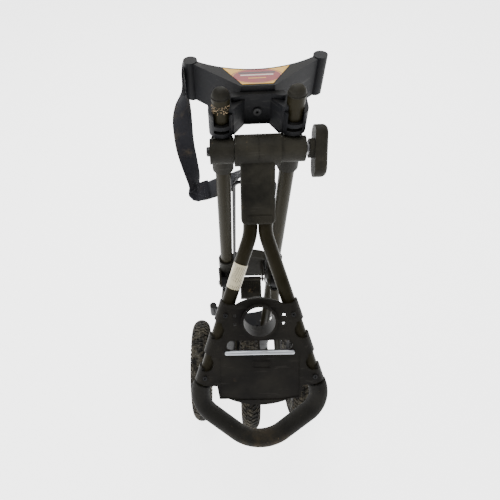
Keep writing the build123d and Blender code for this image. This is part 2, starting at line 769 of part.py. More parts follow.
with BuildPart() as paddle_pin:
    with BuildSketch(x_plane(0, release_y, release_z)):
        Circle(3)
    extrude(amount=ear_gap + ear_thickness + 2, both=True)
hand_in(paddle_pin.part, "paddle_pin")

with BuildPart() as release_paddle:
    with BuildSketch(x_plane(0, release_y, release_z)):
        Circle(6)
        with BuildLine():
            Polyline((4, 4), (-30, -13), (-40, -22), (-42, -27), (-38, -27), (-28, -19), (0, -6), close=True)
        make_face()
        Circle(3 + slip_gap, mode=Mode.SUBTRACT)
    extrude(amount=paddle_half, both=True)
    # grip ribs down the sloping face
    rib_face = Plane(origin=(0, release_y - 18, release_z - 7), x_dir=(1, 0, 0), z_dir=(0, -17, 34))
    with BuildSketch(rib_face):
        with GridLocations(4.6, 1, 10, 1):
            SlotOverall(26, 2.2, rotation=90)
    extrude(amount=1.8)
hand_in(release_paddle.part, "release_paddle")

with BuildPart() as brace_rod:
    rod_y = frame_y - rod_forward
    rod_low = leg_bracket_high - 44
    with BuildLine(Plane.XZ.offset(-rod_y)) as rod_line:
        FilletPolyline(
            (-rod_half, rod_low),
            (-rod_half, rod_top),
            (rod_half, rod_top),
            (rod_half, rod_low),
            radius=rod_radius,
        )
    with BuildSketch(Plane(origin=rod_line.line @ 0, z_dir=rod_line.line % 0)):
        Circle(rod_d / 2)
    sweep()
hand_in(brace_rod.part, "brace_rod")

# ---- legs ----
for side, name in ((-1, "left"), (1, "right")):
    pivot = Vector(side * tube_x, pivot_y, pivot_height)
    foot = Vector(side * leg_foot_x, frame_y + rear_wheel_y, wheel_z)
    leg_length = (foot - pivot).length
    leg_line = Plane(origin=pivot, x_dir=(1, 0, 0), z_dir=foot - pivot)

    with BuildPart() as leg_pin:
        with BuildSketch(pivot_plane(side).offset(-leg_knuckle_half - body_gap - lug_thickness - 3)):
            Circle(leg_pin_d / 2)
        extrude(amount=2 * (leg_knuckle_half + body_gap + lug_thickness) + 5)
        with BuildSketch(pivot_plane(side).offset(leg_knuckle_half + body_gap + lug_thickness)):
            Circle(leg_pin_d * 0.8)
        extrude(amount=3.5)
    hand_in(leg_pin.part, f"leg_pin_{name}")

    with BuildPart() as leg_knuckle:
        with BuildSketch(pivot_plane(side).offset(-leg_knuckle_half)):
            Circle(leg_knuckle_d / 2)
        extrude(amount=2 * leg_knuckle_half)
        with BuildSketch(leg_line.offset(22)):
            Circle(leg_tube_d / 2 - leg_tube_wall - slip_gap)
        extrude(amount=34)
        with BuildSketch(leg_line.offset(6)):
            Circle(leg_knuckle_half - 5)
        extrude(amount=18)
        with BuildSketch(pivot_plane(side)):
            Circle(leg_pin_d / 2 + slip_gap)
        extrude(amount=30, both=True, mode=Mode.SUBTRACT)
    hand_in(leg_knuckle.part, f"leg_knuckle_{name}")

    with BuildPart() as leg_tube:
        with BuildSketch(leg_line.offset(24 + body_gap)):
            Circle(leg_tube_d / 2)
            Circle(leg_tube_d / 2 - leg_tube_wall, mode=Mode.SUBTRACT)
        extrude(amount=leg_length - 44)
    hand_in(leg_tube.part, f"leg_tube_{name}")

    with BuildPart() as axle_block:
        with BuildSketch(leg_line.offset(leg_length - 42)):
            Circle(leg_tube_d / 2 + 4)
        extrude(amount=40)
        with BuildSketch(x_plane(side * (leg_foot_x - 17), frame_y + rear_wheel_y, wheel_z)):
            Circle(16)
        extrude(amount=side * 33)
        with BuildSketch(leg_line.offset(leg_length - 90)):
            Circle(leg_tube_d / 2 + slip_gap)
        extrude(amount=70 + body_gap, mode=Mode.SUBTRACT)
        with BuildSketch(x_plane(0, frame_y + rear_wheel_y, wheel_z)):
            Circle(axle_d / 2 + slip_gap)
        extrude(amount=side * 3 * leg_foot_x, mode=Mode.SUBTRACT)
    hand_in(axle_block.part, f"axle_block_{name}")

    with BuildPart() as rear_axle:
        with BuildSketch(x_plane(side * (leg_foot_x - 20), frame_y + rear_wheel_y, wheel_z)):
            Circle(axle_d / 2)
        extrude(amount=side * (rear_wheel_x + rear_hub_half - leg_foot_x + 21))
        with BuildSketch(x_plane(side * (leg_foot_x - 17), frame_y + rear_wheel_y, wheel_z)):
            Circle(axle_d * 0.8)
        extrude(amount=-side * 5)
    hand_in(rear_axle.part, f"rear_axle_{name}")

# ---- wheels ----
bead_r = bead_d / 2
rim_r = bead_r - slip_gap
for name, wheel_x, wheel_y, hub_half in (
    ("front", 0.0, front_wheel_y, front_hub_half),
    ("left", -rear_wheel_x, rear_wheel_y, rear_hub_half),
    ("right", rear_wheel_x, rear_wheel_y, rear_hub_half),
):
    wheel_plane = Plane(origin=(wheel_x, frame_y + wheel_y, wheel_z), x_dir=(0, 1, 0), z_dir=(1, 0, 0))
    section_plane = Plane(origin=wheel_plane.origin, x_dir=(0, 0, 1), z_dir=(0, -1, 0))
    wheel_axis = Axis(wheel_plane.origin, (1, 0, 0))

    with BuildPart() as tyre:
        with BuildSketch(section_plane):
            carcass_r = tyre_width / 2
            with Locations((wheel_r - carcass_r, 0)):
                Circle(carcass_r)
            with Locations((bead_r, 0)):
                Rectangle(12, rim_width - 8, align=(Align.MIN, Align.CENTER))
            with Locations((wheel_r - carcass_r, 0)):
                Circle(carcass_r - 5, mode=Mode.SUBTRACT)
            with Locations((bead_r - 0.01, 0)):
                Rectangle(bead_r, 2 * tyre_width, align=(Align.MAX, Align.CENTER), mode=Mode.SUBTRACT)
        revolve(axis=wheel_axis)
    hand_in(tyre.part, f"tyre_{name}")

    with BuildPart() as rim:
        with BuildSketch(section_plane):
            with BuildLine():
                half = rim_width / 2 - 4
                Polyline(
                    (rim_r, half), (rim_r, -half), (rim_r - 4, -half), (rim_r - 13, -half + 7),
                    (rim_r - 13, half - 7), (rim_r - 4, half), close=True,
                )
            make_face()
            with Locations((bearing_d / 2 + slip_gap, 0)):
                Rectangle((hub_d - bearing_d) / 2, 2 * hub_half - 4, align=(Align.MIN, Align.CENTER))
            with Locations((axle_d / 2 + 2, 0)):
                Rectangle(
                    (bearing_d - axle_d) / 2,
                    2 * (hub_half - 2 - bearing_width),
                    align=(Align.MIN, Align.CENTER),
                )
        revolve(axis=wheel_axis)
        with BuildSketch(wheel_plane.offset(-5)):
            with PolarLocations(0, 5):
                with Locations(((hub_d / 2 + rim_r - 13) / 2 - 1, 0)):
                    Trapezoid(rim_r - hub_d / 2 - 6, 22, 96)
        extrude(amount=10)
    hand_in(rim.part, f"rim_{name}")

    with BuildPart() as bearings:
        for end in (-1, 1):
            with BuildSketch(wheel_plane.offset(end * (hub_half - 2))):
                Circle(bearing_d / 2)
                Circle(axle_d / 2 + slip_gap, mode=Mode.SUBTRACT)
            extrude(amount=-end * bearing_width)
    hand_in(bearings.part, f"bearings_{name}")

    if name != "front":
        outer = 1 if wheel_x > 0 else -1
        with BuildPart() as hub_cap:
            with BuildSketch(wheel_plane.offset(outer * (hub_half - 2))):
                Circle(hub_d / 2)
            extrude(amount=outer * 6)
            fillet(hub_cap.faces().sort_by(Axis.X)[-1 if outer > 0 else 0].edges(), radius=3)
            with BuildSketch(wheel_plane.offset(outer * (hub_half - 3))):
                Circle(axle_d / 2 + 1)
            extrude(amount=outer * 4.5, mode=Mode.SUBTRACT)
        hand_in(hub_cap.part, f"hub_cap_{name}")


# ---- bag strap ----
def ribbon(stations, width, thickness):
    """Closed band through stations of (centre, direction of travel, direction of its width)."""
    with BuildPart() as band:
        for centre, travel, across in stations:
            flat = Vector(*travel).cross(Vector(*across))
            square = flat.cross(Vector(*travel))
            with BuildSketch(Plane(origin=centre, x_dir=square, z_dir=travel)):
                Rectangle(width, thickness)
        loft(ruled=True)
    return band.part


strap_top = bracket_top - 10
strap_route = (
    ((-tip_x - tip_d / 2 - 1.9, 97, strap_top), (0, 0, -1), (0, 1, 0)),
    ((-tip_x - tip_d / 2 - 3.5, 96, strap_top - 32), (-0.1, 0, -1), (0.1, 1, 0)),
    ((-tip_x - 21, 93, strap_top - 64), (-0.1, -0.1, -1), (0.65, 0.75, 0)),
    ((-tip_x - 25, 88, strap_top - 105), (-0.05, -0.1, -1), (0.95, 0.3, 0)),
    ((-tip_x - 25, 82, strap_top - 152), (0.05, -0.2, -1), (0.95, 0.3, 0)),
    ((-tip_x - 19, 72, strap_top - 192), (0.2, -0.3, -1), (0.8, 0.6, 0)),
    ((-tip_x - 13, 61, strap_top - 221), (0.2, -0.4, -1), (0.6, 0.8, 0)),
    ((-tip_x - 10, 53, strap_top - 240), (0.2, -0.4, -1), (0.5, 0.85, 0)),
)
pad_route = (
    ((-tip_x - 7.4, 46, rod_top - 74.5), (1, -0.3, 0), (0.1, 0.8, 0.55)),
    ((-tip_x + 7, 43, rod_top - 71), (1, -0.25, 0.3), (0, 0.83, 0.56)),
    ((-80, 40, rod_top - 61), (1, -0.15, 0.5), (0, 0.83, 0.56)),
    ((-57, 38, rod_top - 49), (1, -0.15, 0.6), (0, 0.83, 0.56)),
    ((-38, 33, rod_top - 33), (1, -0.5, 1), (0.2, 0.85, 0.4)),
    ((-24, 17, rod_top), (0.6, -0.9, 0.8), (0.75, 0.6, 0.1)),
    ((-14, -3, rod_top + 17.5), (0.4, -1, 0.3), (0.9, 0.4, 0)),
)


def beside_frame(route):
    return [((x, frame_y + y, z), travel, across) for (x, y, z), travel, across in route]


hand_in(ribbon(beside_frame(strap_route), strap_width, strap_thickness), "bag_strap")
hand_in(ribbon(beside_frame(pad_route), pad_width, pad_thickness), "strap_pad")
print("tube plane at y", round(frame_y, 3))
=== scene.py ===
import bpy, bmesh, json
from math import cos, pi, radians, sin, tau
from mathutils import Matrix, Vector

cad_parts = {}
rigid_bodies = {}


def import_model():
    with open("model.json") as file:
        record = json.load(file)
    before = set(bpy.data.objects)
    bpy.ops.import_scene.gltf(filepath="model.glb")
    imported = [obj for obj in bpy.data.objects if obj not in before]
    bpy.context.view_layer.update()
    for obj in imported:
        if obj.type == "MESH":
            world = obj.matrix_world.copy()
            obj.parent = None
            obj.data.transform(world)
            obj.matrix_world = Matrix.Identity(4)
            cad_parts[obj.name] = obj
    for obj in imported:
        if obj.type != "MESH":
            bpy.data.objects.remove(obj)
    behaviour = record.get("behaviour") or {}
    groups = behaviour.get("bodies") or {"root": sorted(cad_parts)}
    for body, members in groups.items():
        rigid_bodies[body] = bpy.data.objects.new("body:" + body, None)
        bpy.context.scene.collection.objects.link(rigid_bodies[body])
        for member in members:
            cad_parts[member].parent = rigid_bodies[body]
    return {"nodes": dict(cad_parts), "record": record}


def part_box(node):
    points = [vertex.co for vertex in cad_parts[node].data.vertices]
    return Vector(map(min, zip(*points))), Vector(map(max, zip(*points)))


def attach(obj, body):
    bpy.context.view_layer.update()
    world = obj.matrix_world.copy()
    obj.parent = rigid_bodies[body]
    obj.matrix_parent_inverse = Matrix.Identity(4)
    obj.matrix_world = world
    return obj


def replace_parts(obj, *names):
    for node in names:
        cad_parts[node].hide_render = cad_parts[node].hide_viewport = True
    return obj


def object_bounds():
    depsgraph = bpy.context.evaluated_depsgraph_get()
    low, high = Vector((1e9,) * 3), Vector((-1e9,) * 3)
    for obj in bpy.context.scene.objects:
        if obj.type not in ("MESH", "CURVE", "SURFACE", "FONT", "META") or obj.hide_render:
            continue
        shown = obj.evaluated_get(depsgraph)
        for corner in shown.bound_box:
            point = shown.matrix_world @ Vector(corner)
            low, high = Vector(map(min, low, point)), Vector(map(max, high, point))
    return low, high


# Folded golf push cart: materials, knobby tyres, webbing strap, stitching, mouldings and dust.

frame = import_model()
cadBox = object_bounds()
nodes = frame["nodes"]
record = frame["record"]
slotOf = {part["node"]: part["material_slot"] for part in record["subparts"]}
joints = {joint["name"]: joint for joint in record["behaviour"]["joints"]}
print("frame loaded:", len(nodes), "pieces")


def boxOf(node):
    low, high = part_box(node)
    return Vector(low), Vector(high)


def middle(node):
    low, high = boxOf(node)
    return (low + high) / 2


hinge = Vector(joints["handle_hinge"]["pos_m"])
loopLow = boxOf("handle_grip")[0]
tubeY = middle("frame_tube_left").y
foldAngle = radians(41)  # between the folded handle and the frame tubes
handleDown = Vector((0, -sin(foldAngle), -cos(foldAngle)))
handleOut = Vector((0, -cos(foldAngle), sin(foldAngle)))


def onHandle(across, along, out):
    return hinge + Vector((across, 0, 0)) + handleDown * along + handleOut * out


# one socket, with Python operators that add Math nodes
class Wire:
    def __init__(self, maker, socket):
        self.maker = maker
        self.socket = socket

    def math(self, operation, *others):
        inputs = {0: self, **dict(enumerate(others, 1))}
        return self.maker.node("ShaderNodeMath", {"operation": operation}, inputs)

    def __add__(self, other):
        return self.math("ADD", other)

    def __sub__(self, other):
        return self.math("SUBTRACT", other)

    def __mul__(self, other):
        return self.math("MULTIPLY", other)

    def __truediv__(self, other):
        return self.math("DIVIDE", other)

    def __rsub__(self, other):
        return self.maker.node("ShaderNodeMath", {"operation": "SUBTRACT"}, {0: other, 1: self})

    def __pow__(self, other):
        return self.math("POWER", other)

    def __gt__(self, other):
        return self.math("GREATER_THAN", other)

    def __lt__(self, other):
        return self.math("LESS_THAN", other)

    __radd__ = __add__
    __rmul__ = __mul__

    def clamped(self):
        return self.maker.node("ShaderNodeClamp", {}, {"Value": self})

    # 0 below low, 1 above high, smooth between
    def ramp(self, low, high):
        inputs = {"Value": self, "From Min": low, "From Max": high}
        return self.maker.node("ShaderNodeMapRange", {"interpolation_type": "SMOOTHSTEP"}, inputs)


# a material under construction: one method adds any node
class Finish:
    def __init__(self, name):
        self.material = bpy.data.materials.new(name)
        self.material.use_nodes = True
        self.tree = self.material.node_tree
        self.shader = self.tree.nodes["Principled BSDF"]
        self.place = self.tree.nodes.new("ShaderNodeTexCoord")

    def node(self, kind, settings, inputs, output=0):
        made = self.tree.nodes.new(kind)
        for key, value in settings.items():
            setattr(made, key, value)
        for key, value in inputs.items():
            self.connect(value, made.inputs[key])
        return Wire(self, made.outputs[output])

    def connect(self, value, socket):
        if isinstance(value, Wire):
            self.tree.links.new(value.socket, socket)
        elif isinstance(value, tuple) and len(value) == 3 and socket.type == "RGBA":
            socket.default_value = (*value, 1.0)
        else:
            socket.default_value = value

    def spot(self, kind="Object"):
        return Wire(self, self.place.outputs[kind])

    def axis(self, which, kind="Object"):
        return self.node("ShaderNodeSeparateXYZ", {}, {"Vector": self.spot(kind)}, which)

    def noise(self, scale, detail=4.0, rough=0.55, stretch=(1, 1, 1), turn=(0, 0, 0), shift=(0, 0, 0)):
        laid = {"Vector": self.spot(), "Scale": stretch, "Rotation": turn, "Location": shift}
        where = self.node("ShaderNodeMapping", {}, laid)
        grain = {"Vector": where, "Scale": scale, "Detail": detail, "Roughness": rough}
        return self.node("ShaderNodeTexNoise", {}, grain)

    def cells(self, scale):
        where = self.node("ShaderNodeMapping", {}, {"Vector": self.spot()})
        return self.node("ShaderNodeTexVoronoi", {"feature": "F1"}, {"Vector": where, "Scale": scale})

    def mix(self, amount, first, second):
        return self.node("ShaderNodeMix", {"data_type": "RGBA"}, {0: amount, 6: first, 7: second}, 2)

    def bump(self, height, distance, strength):
        inputs = {"Height": height, "Distance": distance, "Strength": strength}
        return self.node("ShaderNodeBump", {}, inputs)

    def done(self, **sockets):
        for name, value in sockets.items():
            self.connect(value, self.shader.inputs[name.replace("_", " ")])
        return self.material


dustOlive = (0.072, 0.066, 0.050)
dustTan = (0.23, 0.165, 0.085)


# how far a surface faces up: where dust settles, and on the pad where a painted top light goes
def upward(finish, low, high):
    return finish.axis(2, "Normal").ramp(low, high)


# dust over a base colour: olive film on faces that look up, and tan scuffs in patches
def dusted(finish, base, amount, tan, scale):
    film = finish.noise(scale, 5.0, 0.6)
    speck = finish.noise(scale * 9, 3.0, 0.7).ramp(0.4, 0.62)
    settled = (upward(finish, -0.2, 0.95) * 0.75 + 0.25) * film.ramp(0.25, 0.75) * amount
    filmed = finish.mix(settled, base, dustOlive)
    patch = finish.noise(scale * 1.7, 6.0, 0.72, shift=(3.1, 1.7, 0.4)).ramp(0.61, 0.76)
    scuff = patch * speck * tan
    return finish.mix(scuff, filmed, dustTan), film, scuff


def framePaint():
    finish = Finish("satin_black_paint")
    colour, film, scuff = dusted(finish, (0.0130, 0.0108, 0.0048), 0.24, 0.20, 14.0)
    scratch = finish.noise(60.0, 2.0, 0.5, (6, 6, 0.4)).ramp(0.66, 0.72) * film.ramp(0.5, 0.8)
    colour = finish.mix(scratch * 0.3, colour, (0.10, 0.095, 0.080))
    height = finish.noise(900.0, 2.0) * 0.5 + scuff * 0.8
    return finish.done(
        Base_Color=colour,
        Roughness=(0.36 + film * 0.14 + scuff * 0.3 + scratch * 0.1).clamped(),
        Normal=finish.bump(height, 0.00025, 0.35),
        Specular_IOR_Level=0.06,
    )


def mouldedPlastic(name, base, dust, tan, grain=1500.0, rough=0.5):
    finish = Finish(name)
    colour, film, scuff = dusted(finish, base, dust, tan, 16.0)
    pebble = finish.cells(grain)
    drag = finish.noise(26.0, 3.0, 0.6, (1, 1, 7), (0.2, 0.5, 0.1)).ramp(0.58, 0.7)
    colour = finish.mix(drag * 0.12, colour, (0.09, 0.085, 0.075))
    height = pebble * 0.6 + film * 0.3 + scuff * 0.8
    return finish.done(
        Base_Color=colour,
        Roughness=(rough + film * 0.16 + scuff * 0.25 - drag * 0.08).clamped(),
        Normal=finish.bump(height, 0.0003, 0.3),
        Specular_IOR_Level=0.08,
    )


def zincSteel():
    finish = Finish("zinc_steel")
    grain = finish.noise(260.0, 3.0, 0.6, (1, 8, 8))
    stain = finish.noise(70.0, 5.0, 0.7)
    colour = finish.mix(stain.ramp(0.52, 0.7) * 0.55, (0.58, 0.58, 0.59), (0.24, 0.19, 0.13))
    return finish.done(
        Base_Color=colour,
        Metallic=(1.0 - stain.ramp(0.55, 0.75) * 0.5),
        Roughness=(0.24 + grain * 0.2 + stain * 0.12),
        Normal=finish.bump(grain, 0.0001, 0.3),
    )


def dippedRod():
    finish = Finish("dipped_black_rod")
    film = finish.noise(40.0, 4.0)
    colour = finish.mix(film.ramp(0.5, 0.8) * 0.25, (0.010, 0.010, 0.011), dustOlive)
    return finish.done(
        Base_Color=colour,
        Roughness=0.3 + film * 0.2,
        Normal=finish.bump(film, 0.0002, 0.2),
        Specular_IOR_Level=0.3,
    )


def gripFoam():
    finish = Finish("grip_foam")
    low = loopLow.z
    pores = finish.cells(1500.0)
    skin = finish.noise(220.0, 4.0, 0.65)
    wearHeight = 1.0 - finish.axis(2).ramp(low + 0.004, low + 0.055)
    front = 1.0 - finish.axis(1).ramp(loopLow.y + 0.010, loopLow.y + 0.070)
    blotch = finish.noise(34.0, 6.0, 0.7)
    tan = (wearHeight * front * blotch.ramp(0.36, 0.66)).clamped()
    film = finish.noise(15.0, 4.0).ramp(0.3, 0.8) * upward(finish, -0.3, 1.0)
    colour = finish.mix(film * 0.42, (0.010, 0.0095, 0.0085), (0.045, 0.043, 0.036))
    colour = finish.mix(tan * 0.42, colour, (0.17, 0.115, 0.050))
    nick = finish.noise(95.0, 3.0, 0.6, shift=(4, 2, 1)).ramp(0.68, 0.76)
    colour = finish.mix(nick * 0.3, colour, dustTan)
    height = pores * 0.5 + skin * 0.4 - nick * 0.8
    return finish.done(
        Base_Color=colour,
        Roughness=(0.66 + skin * 0.16).clamped(),
        Normal=finish.bump(height, 0.0005, 0.45),
        Specular_IOR_Level=0.1,
    )


def tyreRubber(name, bare, dust, cover):
    finish = Finish(name)
    cake = finish.noise(46.0, 6.0, 0.68)
    grit = finish.noise(420.0, 3.0, 0.7)
    packed = cake.ramp(0.40, 0.62) * grit.ramp(0.25, 0.6)
    colour = finish.mix(packed * cover, bare, dust)
    pale = finish.noise(21.0, 4.0, 0.6, shift=(2, 5, 1)).ramp(0.50, 0.72)
    colour = finish.mix(pale * packed * cover * 0.4, colour, (0.40, 0.385, 0.35))
    return finish.done(
        Base_Color=colour,
        Roughness=(0.74 + grit * 0.2).clamped(),
        Normal=finish.bump(grit * 0.5 + packed, 0.0006, 0.5),
        Specular_IOR_Level=0.1,
    )


def brightStrip():
    finish = Finish("bright_strip")
    grain = finish.noise(900.0, 2.0, 0.5, (0.05, 1, 1))
    colour = finish.mix(finish.noise(50.0).ramp(0.45, 0.75) * 0.3, (0.66, 0.69, 0.74), (0.35, 0.34, 0.30))
    return finish.done(Base_Color=colour, Metallic=0.85, Roughness=0.22 + grain * 0.25)


# red oval on a yellow ground with plain bars, and no lettering
def printedSticker():
    finish = Finish("printed_sticker")
    centre = middle("bracket_label")
    across = (finish.axis(0) - centre.x) * 1000
    along = (finish.axis(1) - centre.y) * 1000
    reach = (across / 41.0) ** 2.0 + ((along + 2.0) / 20.5) ** 2.0
    oval = reach < 1.0
    ring = (reach > 0.84) * (reach < 0.92)
    colour = finish.mix(oval, (0.66, 0.36, 0.02), (0.24, 0.012, 0.014))
    colour = finish.mix(ring * 0.8, colour, (0.66, 0.36, 0.02))
    for height, half, thick, paint in (
        (6.5, 29.0, 2.4, (0.012, 0.012, 0.014)),
        (0.5, 26.0, 1.6, (0.62, 0.58, 0.50)),
        (-8.0, 14.0, 1.1, (0.66, 0.36, 0.02)),
    ):
        bar = ((along - height).math("ABSOLUTE") < thick) * (across.math("ABSOLUTE") < half)
        colour = finish.mix(bar * 0.92, colour, paint)
    fade = finish.noise(60.0, 4.0)
    colour = finish.mix(fade.ramp(0.45, 0.8) * 0.25, colour, (0.22, 0.18, 0.15))
    return finish.done(Base_Color=colour, Roughness=0.32 + fade * 0.2, Specular_IOR_Level=0.35)


# cream wrap with rows of fine grey dashes that stand for small print
def creamLabel():
    finish = Finish("cream_label")
    centre = middle("tube_label")
    across = (finish.axis(0) - centre.x) * 1000
    up = ((finish.axis(2) - centre.z) / cos(foldAngle)) * 1000
    row = finish.node("ShaderNodeMath", {"operation": "FRACT"}, {0: (across + up * 0.34) / 3.1})
    dash = finish.noise(900.0, 1.0, 0.5, (0.3, 1, 1)).ramp(0.42, 0.5)
    block = finish.noise(70.0, 1.0).ramp(0.40, 0.48)
    ink = (row < 0.46) * dash * block * 0.8
    colour = finish.mix(ink, (0.62, 0.56, 0.38), (0.10, 0.085, 0.06))
    dirt = finish.noise(85.0, 5.0, 0.7)
    colour = finish.mix(dirt.ramp(0.52, 0.75) * 0.45, colour, (0.44, 0.38, 0.27))
    return finish.done(Base_Color=colour, Roughness=0.42 + dirt * 0.2, Coat_Weight=0.15)


# twill ribs that follow the piece's own UV map, in metres along and across
def wovenWebbing():
    finish = Finish("woven_webbing")
    along = finish.axis(0, "UV") * 1000
    across = finish.axis(1, "UV") * 1000
    rib = finish.node("ShaderNodeMath", {"operation": "SINE"}, {0: across * (tau / 1.6) + along * 0.9})
    pick = finish.node("ShaderNodeMath", {"operation": "SINE"}, {0: along * (tau / 1.1)})
    weave = rib * 0.35 + pick * 0.25 + 0.5
    fuzz = finish.noise(1300.0, 2.0)
    dust = finish.noise(30.0, 5.0, 0.65).ramp(0.5, 0.8)
    colour = finish.mix(weave.clamped(), (0.006, 0.006, 0.008), (0.022, 0.022, 0.028))
    colour = finish.mix(dust * 0.22, colour, dustTan)
    return finish.done(
        Base_Color=colour,
        Roughness=(0.82 + fuzz * 0.12).clamped(),
        Normal=finish.bump(weave + fuzz * 0.3, 0.0004, 0.6),
        Sheen_Weight=0.06,
        Sheen_Roughness=0.5,
        Specular_IOR_Level=0.2,
    )


def padFabric():
    finish = Finish("pad_fabric")
    loops = finish.cells(800.0)
    slub = finish.noise(150.0, 3.0)
    # painted light: faces that look up are mixed towards a pale blue-grey, the light from above painted onto
    # the pad's top
    top = upward(finish, 0.0, 0.8)
    colour = finish.mix(top * 0.6, (0.009, 0.009, 0.011), (0.040, 0.042, 0.048))
    colour = finish.mix(loops.ramp(0.2, 0.7) * 0.35, colour, (0.03, 0.03, 0.034))
    colour = finish.mix(finish.noise(24.0).ramp(0.55, 0.8) * 0.25, colour, dustTan)
    return finish.done(
        Base_Color=colour,
        Roughness=0.9,
        Normal=finish.bump(loops + slub * 0.6, 0.0006, 0.6),
        Sheen_Weight=0.08,
        Sheen_Roughness=0.6,
        Specular_IOR_Level=0.2,
    )


def threadFinish():
    finish = Finish("grey_thread")
    return finish.done(Base_Color=(0.05, 0.05, 0.055), Roughness=0.8, Sheen_Weight=0.2)


def driedMud():
    finish = Finish("dried_mud")
    lump = finish.noise(500.0, 4.0, 0.7)
    colour = finish.mix(lump, (0.20, 0.14, 0.085), (0.42, 0.32, 0.20))
    return finish.done(Base_Color=colour, Roughness=0.95, Normal=finish.bump(lump, 0.0006, 0.7))


finishes = {
    "frame_paint": framePaint(),
    "bracket_plastic": mouldedPlastic("bracket_plastic", (0.0075, 0.0080, 0.0100), 0.22, 0.06, 1500.0, 0.42),
    "hinge_plastic": mouldedPlastic("hinge_plastic", (0.0105, 0.0100, 0.0082), 0.50, 0.62, 1500.0, 0.5),
    "console_plastic": mouldedPlastic("console_plastic", (0.0080, 0.0072, 0.0065), 0.20, 0.10, 1500.0, 0.48),
    "steel": zincSteel(),
    "black_rod": dippedRod(),
    "grip_foam": gripFoam(),
    "tyre_rubber": tyreRubber("tyre_rubber", (0.012, 0.0115, 0.011), (0.17, 0.145, 0.100), 0.42),
    "wheel_plastic": mouldedPlastic("wheel_plastic", (0.009, 0.009, 0.010), 0.30, 0.30, 1200.0, 0.42),
    "bright_strip": brightStrip(),
    "sticker": printedSticker(),
    "paper_label": creamLabel(),
    "webbing": wovenWebbing(),
    "pad_fabric": padFabric(),
    "foot_rubber": mouldedPlastic("foot_rubber", (0.010, 0.010, 0.010), 0.25, 0.30, 900.0, 0.75),
}
thread = threadFinish()
mud = driedMud()
groove = tyreRubber("tyre_grooves", (0.024, 0.023, 0.021), (0.20, 0.185, 0.150), 0.80)
for nodeName, piece in nodes.items():
    for materialSlot in piece.material_slots:
        materialSlot.material = finishes[slotOf[nodeName]]
print("finishes on", len(finishes), "slots")


def newPiece(name, mesh, material, body):
    piece = bpy.data.objects.new(name, mesh)
    bpy.context.scene.collection.objects.link(piece)
    mesh.materials.clear()
    mesh.materials.append(material)
    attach(piece, body)
    return piece


def meshOf(name, build, smooth=True):
    work = bmesh.new()
    build(work)
    bmesh.ops.remove_doubles(work, verts=work.verts, dist=1e-6)
    bmesh.ops.recalc_face_normals(work, faces=work.faces)
    mesh = bpy.data.meshes.new(name)
    work.to_mesh(mesh)
    work.free()
    for polygon in mesh.polygons:
        polygon.use_smooth = smooth
    return mesh


# faces between rings of points; each ring is a list of the same length
def ringStrip(work, rings, closedAround=True, closedAlong=False):
    rows = [[work.verts.new(point) for point in ring] for ring in rings]
    pairs = list(zip(rows, rows[1:])) + ([(rows[-1], rows[0])] if closedAlong else [])
    count = len(rows[0])
    for first, second in pairs:
        for spot in range(count if closedAround else count - 1):
            after = (spot + 1) % count
            work.faces.new((first[spot], first[after], second[after], second[spot]))
    return rows


# a Geometry Nodes tree with named inputs, whose result becomes a plain mesh
class Recipe:
    def __init__(self, name, **inputs):
        self.tree = bpy.data.node_groups.new(name, "GeometryNodeTree")
        self.tree.interface.new_socket("Geometry", in_out="INPUT", socket_type="NodeSocketGeometry")
        self.tree.interface.new_socket("Geometry", in_out="OUTPUT", socket_type="NodeSocketGeometry")
        self.ids = {}
        for title, value in inputs.items():
            kind = "NodeSocketInt" if isinstance(value, int) else "NodeSocketFloat"
            kind = "NodeSocketVector" if isinstance(value, (tuple, Vector)) else kind
            socket = self.tree.interface.new_socket(title, in_out="INPUT", socket_type=kind)
            self.ids[title] = (socket.identifier, value)
        self.start = self.tree.nodes.new("NodeGroupInput")
        self.end = self.tree.nodes.new("NodeGroupOutput")

    def node(self, kind, settings, inputs, output=0):
        made = self.tree.nodes.new(kind)
        for key, value in settings.items():
            setattr(made, key, value)
        for key, value in inputs.items():
            if isinstance(value, Wire):
                self.tree.links.new(value.socket, made.inputs[key])
            else:
                made.inputs[key].default_value = value
        return Wire(self, made.outputs[output])

    def given(self, title):
        return Wire(self, self.start.outputs[title])

    def vector(self, x, y, z):
        return self.node("ShaderNodeCombineXYZ", {}, {0: x, 1: y, 2: z})

    # the finished mesh of the tree's result, with the material set and no instances left
    def grow(self, name, result, material):
        real = self.node("GeometryNodeRealizeInstances", {}, {0: result})
        painted = self.node("GeometryNodeSetMaterial", {}, {"Geometry": real, "Material": material})
        self.tree.links.new(painted.socket, self.end.inputs[0])
        seed = bpy.data.objects.new(name, bpy.data.meshes.new(name))
        bpy.context.scene.collection.objects.link(seed)
        growth = seed.modifiers.new("grow", "NODES")
        growth.node_group = self.tree
        for identifier, value in self.ids.values():
            growth[identifier] = value
        mesh = bpy.data.meshes.new_from_object(seed.evaluated_get(bpy.context.evaluated_depsgraph_get()))
        seed.modifiers.clear()
        bpy.data.objects.remove(seed)
        mesh.name = name
        return mesh


# several meshes as one, with every face turned outwards
def merged(name, *meshes):
    work = bmesh.new()
    for mesh in meshes:
        work.from_mesh(mesh)
    bmesh.ops.recalc_face_normals(work, faces=work.faces)
    joined = bpy.data.meshes.new(name)
    work.to_mesh(joined)
    work.free()
    return joined


tyre = {
    "ringRadius": 0.128,  # from the axle to the middle of the tyre's round section
    "sectionRadius": 0.0235,
    "beadRadius": 0.1031,
    "beadHalf": 0.013,
    "turns": 128,
    "lugCount": 62,
    "lugLength": 0.0118,
    "lugWidth": 0.0100,
    "lugHeight": 0.0034,
    "lugRows": (0.0069, 0.0203, 0.0330),  # distances from the middle of the tread
    "slant": 0.55,
    "ribHeight": 0.0009,
}


